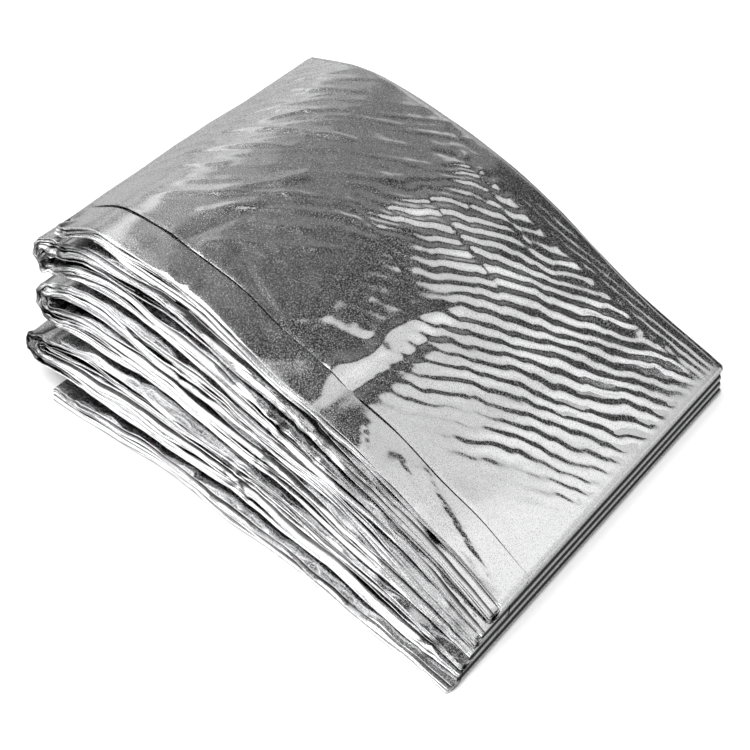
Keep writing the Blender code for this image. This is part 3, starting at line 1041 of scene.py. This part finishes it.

# %% [markdown]
# ## Crumpled edges
# Handling has crumpled the pleat edges at the front. Moving every point by a smooth field of noise bends
# neighbouring layers together, so they stay apart while the whole bundle of edges gets its irregular run.
# In a few places, and at the tips of the fan, the film was crushed. There the absolute value of a noise
# gives flat facets with sharp edges, and small spots are marked where the finish paints shade into the
# colour. The field fades out towards the surface below, so that the packet still lies flat.

# %% Where the film is crumpled and crushed
# Places where the edges were crushed: along the packet, height, reach, and how far the film was pushed.
CRUSHED_ROWS = (
    (0.50, 11 * MM, 8 * MM, 1.3 * MM),
    (0.54, 22 * MM, 6 * MM, 0.9 * MM),
    (0.56, 36 * MM, 7 * MM, 1.0 * MM),
    (0.63, 34 * MM, 6 * MM, 1.0 * MM),
    (0.94, 7 * MM, 7 * MM, 1.0 * MM),
    (0.10, 6 * MM, 6 * MM, 0.6 * MM),
    (0.35, 30 * MM, 5 * MM, 0.5 * MM),
)
TIP_CRUSH = 1.3 * MM
CRUSH_REACH = 1.3
LEAST_CRUSH = 0.01 * MM
STEPPED_FRONT_LOW = -68 * MM
STEPPED_FRONT_HEIGHT = 55 * MM
FRONT_REACH = 7 * MM
FAN_REACH = 0.04
FAN_STRENGTH = 0.7
TIP_REACH_ALONG = 0.025
FLOOR_REACH = 4 * MM
CRUMPLES_END_ALONG = (1.02, 0.1)

along = along_at(points[:, 0])
edge_line = mix(STEPPED_FRONT_LOW, FRONT_Y, np.clip(points[:, 2] / STEPPED_FRONT_HEIGHT, 0, 1))
near_front = np.exp(-np.maximum(points[:, 1] - edge_line, 0) / FRONT_REACH)
near_fan = np.exp(-np.maximum(along, 0) / FAN_REACH)
off_floor = np.clip(points[:, 2] / FLOOR_REACH, 0, 1)
strength = np.maximum(near_front, FAN_STRENGTH * near_fan) * off_floor
strength = strength * fade_out(along, *CRUMPLES_END_ALONG)
crushed = TIP_CRUSH * near_front * np.exp(-np.maximum(along, 0) / TIP_REACH_ALONG)
for place, height, reach, push in CRUSHED_ROWS:
    away = np.hypot(points[:, 0] - mix(FAN_X, SPINE_X, place), points[:, 2] - height)
    crushed = np.maximum(crushed, push * near_front * ease(CRUSH_REACH - away / reach))
crushed = crushed * off_floor
strength[panel_id.ravel()] = 0
crushed[panel_id.ravel()] = 0
near_crush = np.flatnonzero(crushed > LEAST_CRUSH)
print(len(near_crush), "points lie in crushed places")

# %% Crumple the front edges
# size of the noise, and how far it moves the film.
CRUMPLE_ROWS = ((24 * MM, 0.8 * MM), (9 * MM, 0.30 * MM), (4.5 * MM, 0.10 * MM))
CRUSH_SIZE = 3.8 * MM
FACET_LEVEL = 0.45
FACET_SHARPNESS = 2.2
SPOT_SIZE = 2.6 * MM
SPOT_FROM = 0.08
SPOT_SPREAD = 0.12
SPOT_CRUSH = 0.7 * MM
# Brings the crumpled packet back over the solid's box.
CENTRE_SHIFT = np.array((4.71, -0.60, 0.05)) * MM

moved = np.zeros_like(points)
for size, amount in CRUMPLE_ROWS:
    crumples = np.array([noise.noise_vector(Vector(point) / size) for point in points])
    moved += amount * strength[:, None] * crumples
facets = np.array([noise.noise_vector(Vector(points[index]) / CRUSH_SIZE) for index in near_crush])
moved[near_crush] += crushed[near_crush, None] * (FACET_LEVEL - FACET_SHARPNESS * np.abs(facets))
points = points + moved
points = points + CENTRE_SHIFT
# Spots of painted shadow in the crushed places, which the finish darkens.
shadow_spots = [noise.noise(Vector(points[index]) / SPOT_SIZE) for index in near_crush]
crush_shadow = np.zeros(len(points))
crush_shadow[near_crush] = ease((np.array(shadow_spots) - SPOT_FROM) / SPOT_SPREAD)
crush_shadow *= np.clip(crushed / SPOT_CRUSH, 0, 1)
print("film spans, mm:", np.round((points.max(axis=0) - points.min(axis=0)) / MM, 1))

# %% [markdown]
# ## Light lost in the folds
# Light that slips in between two layers is mirrored again and again, and is lost. A renderer follows only a
# few of those bounces, and the slits would come out a false grey. So each point gets a number for how deep
# it lies in a fold, from 0 outside to 1 inside, and the finish uses it later to darken the film there. It
# is worked out from the distance to the edges. The turns at the spine are dark where one touches the next,
# the tips of the fan are dark at the front corner, and the spots in the crushed places are added last.

# %% Measure how deep each point lies
FOLD_START = 0.5 * MM
FOLD_DEEP = 1.4 * MM
HIDDEN_START = 2.5 * MM
HIDDEN_DEEP = 7.0 * MM
END_REACH = 5 * MM
CUT_LAYERS = (LAYERS - 2, LAYERS - 1)
TOUCH_FROM = 0.30
TOUCH_SPREAD = 0.40
TIP_DARK = 0.9
TIP_REACH_BACK = 2.5 * MM
TIP_DARK_START = 0.3


def depth_in_fold(number, x, y):
    """From 0 at the front edges to 1 inside, for every column of one row."""
    fronts, backs = column_edges(number, x)
    from_back = ease((backs - y - FOLD_START) / (FOLD_DEEP - FOLD_START))
    inside = ease((y - fronts - FOLD_START) / (FOLD_DEEP - FOLD_START)) * from_back
    above, below = front_edge(max(number - 1, 0), x), front_edge(min(number + 1, PASSES - 1), x)
    for rank, neighbour in ((0, above), (LAYERS - 1, below)):
        hidden = ease((y - neighbour - HIDDEN_START) / (HIDDEN_DEEP - HIDDEN_START))
        outer = CUT_LAYERS if layer_at(number, rank) in CUT_LAYERS else (0,)
        inside = np.where(np.isin(COLUMN_LAYER, outer), hidden * from_back, inside)
    inside = np.where(np.isin(COLUMN_LAYER, CUT_LAYERS), inside * ease((SPINE_X - x) / END_REACH), inside)
    return np.where(COLUMN_LAYER == 0, inside * ease((x - FAN_X) / END_REACH), inside)


depth = np.zeros(grid.shape[:2])
for number in range(PASSES):
    start, end = pass_start[number], pass_start[number] + PASS_STEPS
    for row in range(start, end + 1):
        depth[row] = depth_in_fold(number, grid[row, :, 0], grid[row, :, 1])
    if number:
        turn = range(pass_start[number - 1] + PASS_STEPS + 1, start)
        for row in turn:
            turned = (row - turn[0] + 1) / (len(turn) + 1)
            depth[row] = mix(depth[turn[0] - 1], depth[start], turned)
            if number % 2 == 0:
                from_front = np.maximum(grid[row, :, 1] - front_edge(number, FAN_X), 0)
                dark = TIP_DARK * np.exp(-from_front / TIP_REACH_BACK) * ease(TIP_DARK_START + turned)
            else:
                touching = (number > 1 or turned > 0.5) and (number < PASSES - 1 or turned < 0.5)
                dark = touching * ease((abs(math.cos(math.pi * turned)) - TOUCH_FROM) / TOUCH_SPREAD)
            depth[row] = np.maximum(depth[row], dark)
depth[:PASS_STEPS + 1, np.isin(COLUMN_LAYER, CUT_LAYERS)] = 0
# Painted shade from 0 to 1: the depth in a fold, and the shaded spots of the crushed places.
painted_fold_shade = np.maximum(np.concatenate((depth[keep], np.zeros(panel_id.size))), crush_shadow)
print("share of points inside folds:", round(float(painted_fold_shade.mean()), 2))

# %% Make the mesh
film_mesh = bpy.data.meshes.new("foil_blanket")
film_mesh.from_pydata(points.tolist(), [], faces)
film_mesh.validate()
film_mesh.shade_smooth()
fold_attribute = film_mesh.attributes.new("painted_fold_shade", "FLOAT", "POINT")
fold_attribute.data.foreach_set("value", painted_fold_shade)
film = bpy.data.objects.new("foil_blanket", film_mesh)
bpy.context.collection.objects.link(film)

# %% [markdown]
# ## The finish
# The film is a mirror with flaws: a thin metal coat on plastic that is never quite flat. Its base colour is
# a bright neutral grey, and Metallic is 1. The fine crinkle is far too small for the mesh, so noise in a
# Bump node makes it. The coat has tiny pits too, so a grain varies the colour and the roughness. Each
# effect is a node group with named sockets, so that it could be used again with other values. Shade is
# painted into the base colour where the film lies deep in a fold or in a crushed spot.

# %% Shader groups
GRAIN_SIZE = 3200.0
CRINKLE_SIZE = 330.0


def new_group(name, inputs, outputs):
    """An empty shader group with named sockets, and its input and output nodes."""
    group = bpy.data.node_groups.new(name, "ShaderNodeTree")
    for socket_name, kind, value in inputs:
        socket = group.interface.new_socket(name=socket_name, in_out="INPUT", socket_type=kind)
        if value is not None:
            socket.default_value = value
    for socket_name, kind in outputs:
        group.interface.new_socket(name=socket_name, in_out="OUTPUT", socket_type=kind)
    start = group.nodes.new("NodeGroupInput")
    end = group.nodes.new("NodeGroupOutput")
    return group, start, end


def film_grain_group():
    """Tiny pits in the metal coat: a mask that swings round 0.5."""
    inputs = [("Place", "NodeSocketVector", None), ("Size", "NodeSocketFloat", GRAIN_SIZE)]
    group, start, end = new_group("film_grain", inputs, [("Grain", "NodeSocketFloat")])
    grain = group.nodes.new("ShaderNodeTexNoise")
    grain.inputs["Detail"].default_value = 2.0
    grain.inputs["Roughness"].default_value = 0.7
    group.links.new(start.outputs["Place"], grain.inputs["Vector"])
    group.links.new(start.outputs["Size"], grain.inputs["Scale"])
    group.links.new(grain.outputs["Fac"], end.inputs["Grain"])
    return group


def film_crinkle_group():
    """The fine crinkle of handled film, as a height from 0 to 1."""
    inputs = [("Place", "NodeSocketVector", None), ("Size", "NodeSocketFloat", CRINKLE_SIZE)]
    group, start, end = new_group("film_crinkle", inputs, [("Height", "NodeSocketFloat")])
    crinkle = group.nodes.new("ShaderNodeTexNoise")
    crinkle.inputs["Detail"].default_value = 3.0
    crinkle.inputs["Roughness"].default_value = 0.55
    crinkle.inputs["Distortion"].default_value = 0.6
    group.links.new(start.outputs["Place"], crinkle.inputs["Vector"])
    group.links.new(start.outputs["Size"], crinkle.inputs["Scale"])
    group.links.new(crinkle.outputs["Fac"], end.inputs["Height"])
    return group


grain_group = film_grain_group()
crinkle_group = film_crinkle_group()
print("groups:", grain_group.name, crinkle_group.name)

# %% The metallised film
# Where on the grain the coat is at its dullest and at its brightest, and how bright it is there.
PITTED_GRAIN = 0.36
PITTED_COLOUR = (0.50, 0.50, 0.51, 1)
CLEAN_GRAIN = 0.56
CLEAN_COLOUR = (0.98, 0.98, 0.985, 1)
# Painted shade: the colour that the film is darkened to where it lies deep in a fold.
FOLD_SHADE_COLOUR = (0.03, 0.03, 0.03, 1)
ROUGH_FROM_GRAIN = (0.48, 0.72)
ROUGHNESS_RANGE = (0.05, 0.56)
CRINKLE_DEPTH = 0.04 * MM
CRINKLE_STRENGTH = 0.5


def place_group(nodes, group, **values):
    """Put a shader group into a material and set its inputs by name."""
    node = nodes.new("ShaderNodeGroup")
    node.node_tree = group
    for name, value in values.items():
        node.inputs[name].default_value = value
    return node


def metallised_film():
    """A mirror with pits and crinkles, with shade painted into its colour deep in folds and in crushed
    spots.
    """
    material = bpy.data.materials.new("metallised_film")
    material.use_nodes = True
    nodes, links = material.node_tree.nodes, material.node_tree.links
    shader = nodes["Principled BSDF"]
    shader.inputs["Metallic"].default_value = 1.0
    place = nodes.new("ShaderNodeTexCoord").outputs["Object"]
    grain = place_group(nodes, grain_group, Size=GRAIN_SIZE)
    links.new(place, grain.inputs["Place"])

    colour = nodes.new("ShaderNodeValToRGB")
    colour.color_ramp.elements[0].position = PITTED_GRAIN
    colour.color_ramp.elements[0].color = PITTED_COLOUR
    colour.color_ramp.elements[1].position = CLEAN_GRAIN
    colour.color_ramp.elements[1].color = CLEAN_COLOUR
    links.new(grain.outputs["Grain"], colour.inputs["Fac"])
    # Painted shade: the base colour is mixed towards near black where the film lies deep in a fold or in a
    # crushed spot, as light is lost there.
    in_fold = nodes.new("ShaderNodeAttribute")
    in_fold.attribute_name = "painted_fold_shade"
    lost = nodes.new("ShaderNodeMix")
    lost.data_type = "RGBA"
    lost.inputs["B"].default_value = FOLD_SHADE_COLOUR
    links.new(in_fold.outputs["Fac"], lost.inputs["Factor"])
    links.new(colour.outputs["Color"], lost.inputs["A"])
    links.new(lost.outputs["Result"], shader.inputs["Base Color"])

    rough = nodes.new("ShaderNodeMapRange")
    rough.inputs["From Min"].default_value, rough.inputs["From Max"].default_value = ROUGH_FROM_GRAIN
    rough.inputs["To Min"].default_value, rough.inputs["To Max"].default_value = ROUGHNESS_RANGE
    links.new(grain.outputs["Grain"], rough.inputs["Value"])
    links.new(rough.outputs["Result"], shader.inputs["Roughness"])

    crinkle = place_group(nodes, crinkle_group, Size=CRINKLE_SIZE)
    links.new(place, crinkle.inputs["Place"])
    bump = nodes.new("ShaderNodeBump")
    bump.inputs["Distance"].default_value = CRINKLE_DEPTH
    bump.inputs["Strength"].default_value = CRINKLE_STRENGTH
    links.new(crinkle.outputs["Height"], bump.inputs["Height"])
    links.new(bump.outputs["Normal"], shader.inputs["Normal"])
    return material


film_mesh.materials.append(metallised_film())
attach(film, "root")
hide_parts("blanket")
print("film looks like", film_mesh.materials[0].name)

# %% [markdown]

# %% [markdown]
# ## A studio for a mirror
# A mirror shows its surroundings, so the surroundings are the light. They could be built from lamps and
# panels, but painting them into the world by direction is quicker and easier to adjust. The camera itself
# sees plain white. The floor is pale paper for the camera, but darker for glossy rays, because the film
# would otherwise mirror a bright floor that in a real studio lies in the packet's own shade.

# %% The floor
FLOOR_HALF = 3.0
PAPER_ROUGHNESS = 0.9
PAPER_COLOUR = (0.90, 0.90, 0.90, 1)
PAPER_MIRRORED = (0.34, 0.34, 0.34, 1)
floor_mesh = bpy.data.meshes.new("floor")
floor_corners = [(side_x * FLOOR_HALF, side_y * FLOOR_HALF, 0)
                 for side_x, side_y in ((-1, -1), (1, -1), (1, 1), (-1, 1))]
floor_mesh.from_pydata(floor_corners, [], [(0, 1, 2, 3)])
floor = bpy.data.objects.new("floor", floor_mesh)
bpy.context.collection.objects.link(floor)
paper = bpy.data.materials.new("pale_paper")
paper.use_nodes = True
paper_nodes, paper_links = paper.node_tree.nodes, paper.node_tree.links
paper_shader = paper_nodes["Principled BSDF"]
paper_shader.inputs["Roughness"].default_value = PAPER_ROUGHNESS
paper_colour = paper_nodes.new("ShaderNodeMix")
paper_colour.data_type = "RGBA"
paper_colour.inputs["A"].default_value = PAPER_COLOUR
paper_colour.inputs["B"].default_value = PAPER_MIRRORED
glossy_ray = paper_nodes.new("ShaderNodeLightPath").outputs["Is Glossy Ray"]
paper_links.new(glossy_ray, paper_colour.inputs["Factor"])
paper_links.new(paper_colour.outputs["Result"], paper_shader.inputs["Base Color"])
floor_mesh.materials.append(paper)
print("floor, m:", 2 * FLOOR_HALF)

# %% The softbox over the floor
SOFTBOX_SIZE = 1.6
SOFTBOX_HEIGHT = 1.2
SOFTBOX_POWER = 14
softbox_data = bpy.data.lights.new("softbox", "AREA")
softbox_data.size = SOFTBOX_SIZE
softbox_data.energy = SOFTBOX_POWER
softbox = bpy.data.objects.new("softbox", softbox_data)
softbox.location = (0, 0, SOFTBOX_HEIGHT)
softbox.visible_glossy = False
bpy.context.collection.objects.link(softbox)
print("softbox at", SOFTBOX_HEIGHT, "m")

# %% [markdown]
# ## Paint the room
# The world's colour is worked out from the direction in which a mirrored ray leaves. From the right to the
# left the room goes from bright softboxes over a dark gap to dim and lighter greys. A bright box in front
# lights the pleat edges, and the rest of the front is a room with uneven things in it. Each zone is painted
# over the ones before it with a soft step, so its edge looks like that of a real softbox.

# %% Brushes for the room
ROOM_DETAIL = 1.5
ROOM_NOISE_SPAN = (0.36, 0.64)

world = bpy.data.worlds.new("studio")
bpy.context.scene.world = world
world.use_nodes = True
world_nodes, world_links = world.node_tree.nodes, world.node_tree.links
world_nodes.clear()
world_place = world_nodes.new("ShaderNodeTexCoord").outputs["Generated"]
direction = world_nodes.new("ShaderNodeSeparateXYZ")
world_links.new(world_place, direction.inputs["Vector"])


def soft_step(axis, start, end):
    """0 where the direction's part along an axis is below start, and 1 above end."""
    step = world_nodes.new("ShaderNodeMapRange")
    step.interpolation_type = "SMOOTHSTEP"
    step.inputs["From Min"].default_value = start
    step.inputs["From Max"].default_value = end
    world_links.new(direction.outputs[axis], step.inputs["Value"])
    return step.outputs["Result"]


def shade(below, level, mask):
    """Paint a grey level over what is there, where the mask is 1."""
    paint = world_nodes.new("ShaderNodeMix")
    paint.data_type = "FLOAT"
    world_links.new(mask, paint.inputs["Factor"])
    for name, value in (("A", below), ("B", level)):
        if isinstance(value, float):
            paint.inputs[name].default_value = value
        else:
            world_links.new(value, paint.inputs[name])
    return paint.outputs["Result"]


def both(first, second):
    """Two masks or levels multiplied."""
    product = world_nodes.new("ShaderNodeMath")
    product.operation = "MULTIPLY"
    world_links.new(first, product.inputs[0])
    world_links.new(second, product.inputs[1])
    return product.outputs["Value"]


def room_noise(scale, darkest, brightest):
    """An uneven grey level, as a room full of things gives."""
    spots = world_nodes.new("ShaderNodeTexNoise")
    spots.inputs["Scale"].default_value = scale
    spots.inputs["Detail"].default_value = ROOM_DETAIL
    world_links.new(world_place, spots.inputs["Vector"])
    level = world_nodes.new("ShaderNodeMapRange")
    level.inputs["From Min"].default_value, level.inputs["From Max"].default_value = ROOM_NOISE_SPAN
    level.inputs["To Min"].default_value = darkest
    level.inputs["To Max"].default_value = brightest
    world_links.new(spots.outputs["Fac"], level.inputs["Value"])
    return level.outputs["Result"]


# %% The zones of the room
DARK = 0.045
# The back of the room from the right to the left: grey level, and X where it begins and where it is full.
BACK_ROWS = (
    (0.17, 0.08, -0.06),
    (0.25, -0.10, -0.32),
    (0.36, -0.46, -0.56),
    (0.76, -0.62, -0.72),
    (0.45, -0.75, -0.88),
)
BACK_LEFT_LEVEL = 0.62
BACK_LEFT_EDGES = (-0.10, -0.28, 0.77, 0.86)
BACK_UNEVEN = (4.5, 0.72, 1.28)
# The softboxes on the right: level, and where they begin and are full along X, and then along Y.
SOFTBOX_ROWS = (
    (0.80, 0.13, 0.21, 0.70, 0.65),
    (1.10, 0.38, 0.58, 0.71, 0.65),
)
FAR_RIGHT_LEVEL = 0.72
FAR_RIGHT_X = (0.62, 0.74)
FRONT_Y_STEP = (0.20, 0.05)
FRONT_UNEVEN = (3.0, 0.06, 1.10)
FRONT_BOX_LEVEL = 2.30
FRONT_BOX_LEFT = (-0.90, -0.78)
FRONT_BOX_RIGHT = (0.10, -0.04)


def past_both(x_begins, x_full, y_begins, y_full):
    """1 where a direction lies past two soft steps, one along X and one along Y."""
    return both(soft_step("X", x_begins, x_full), soft_step("Y", y_begins, y_full))


light = DARK
for level, begins, full in BACK_ROWS:
    light = shade(light, level, soft_step("X", begins, full))
light = shade(light, BACK_LEFT_LEVEL, past_both(*BACK_LEFT_EDGES))
light = both(light, room_noise(*BACK_UNEVEN))
for level, *edges in SOFTBOX_ROWS:
    light = shade(light, level, past_both(*edges))
light = shade(light, FAR_RIGHT_LEVEL, soft_step("X", *FAR_RIGHT_X))
in_front = soft_step("Y", *FRONT_Y_STEP)
light = shade(light, room_noise(*FRONT_UNEVEN), in_front)
front_box = both(soft_step("X", *FRONT_BOX_LEFT), soft_step("X", *FRONT_BOX_RIGHT))
light = shade(light, FRONT_BOX_LEVEL, both(in_front, front_box))
print(len(world_nodes), "nodes paint the room")

# %% Light and backdrop
room = world_nodes.new("ShaderNodeBackground")
world_links.new(light, room.inputs["Strength"])
plain = world_nodes.new("ShaderNodeBackground")
plain.inputs["Color"].default_value = (1, 1, 1, 1)
seen = world_nodes.new("ShaderNodeMixShader")
world_links.new(world_nodes.new("ShaderNodeLightPath").outputs["Is Camera Ray"], seen.inputs["Fac"])
world_links.new(room.outputs["Background"], seen.inputs[1])
world_links.new(plain.outputs["Background"], seen.inputs[2])
world_output = world_nodes.new("ShaderNodeOutputWorld")
world_links.new(seen.outputs["Shader"], world_output.inputs["Surface"])
room.inputs["Color"].default_value = (1, 1, 1, 1)
print("studio ready")
